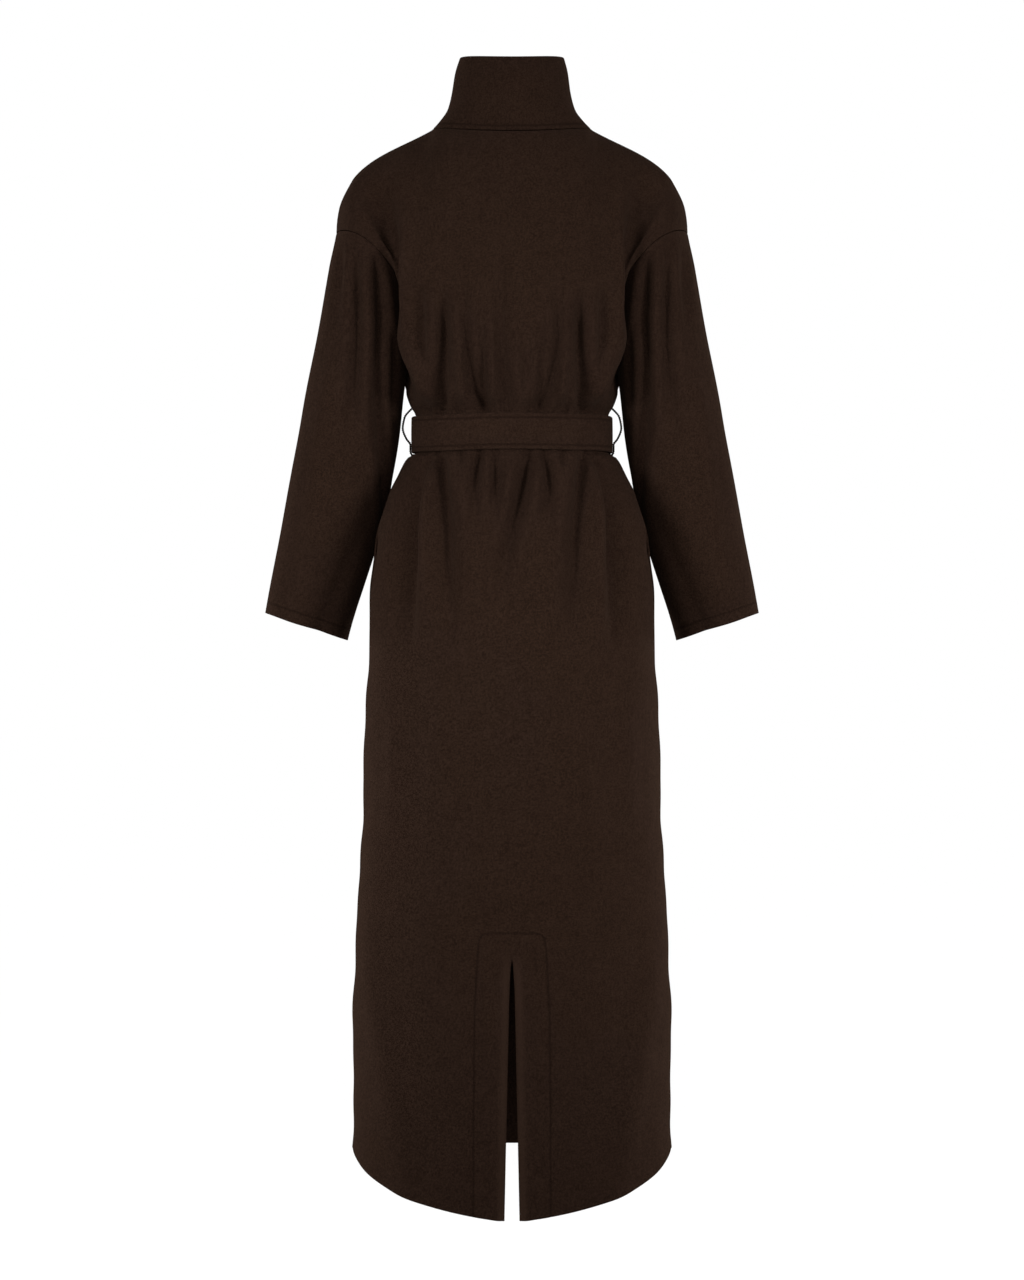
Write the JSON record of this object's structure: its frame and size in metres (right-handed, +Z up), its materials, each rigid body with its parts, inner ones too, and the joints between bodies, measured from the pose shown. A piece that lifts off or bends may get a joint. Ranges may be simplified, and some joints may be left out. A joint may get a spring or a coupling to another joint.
{
  "type": "long belted wool coat",
  "caption": "Long wool wrap coat, worn and hollow: funnel collar, dropped shoulders, wide sleeves, tied self belt, curved back hem with a centre vent.",
  "frame": {"origin": "middle of the neck seam, between the two shoulder neck points, where the wearer's shoulders carry the coat", "axes": "+Z up along the coat's length; the back faces -Y and the front opening +Y; +X is the wearer's right side"},
  "size_m": [0.6006, 0.2674, 1.3775],
  "materials": {
    "wool": "matte felted wool, very dark brown",
    "thread": "matte black-brown thread"
  },
  "bodies": {
    "root": {"back": "wool", "front_left": "wool", "front_right": "wool", "sleeve_left": "wool", "sleeve_right": "wool", "collar": "wool", "vent_facing": "wool", "pocket_facing_left": "wool", "pocket_facing_right": "wool", "belt_band": "wool", "belt_knot": "wool", "belt_tail_left": "wool", "belt_tail_right": "wool", "belt_carrier_left": "thread", "belt_carrier_right": "thread"}
  },
  "joints": []
}
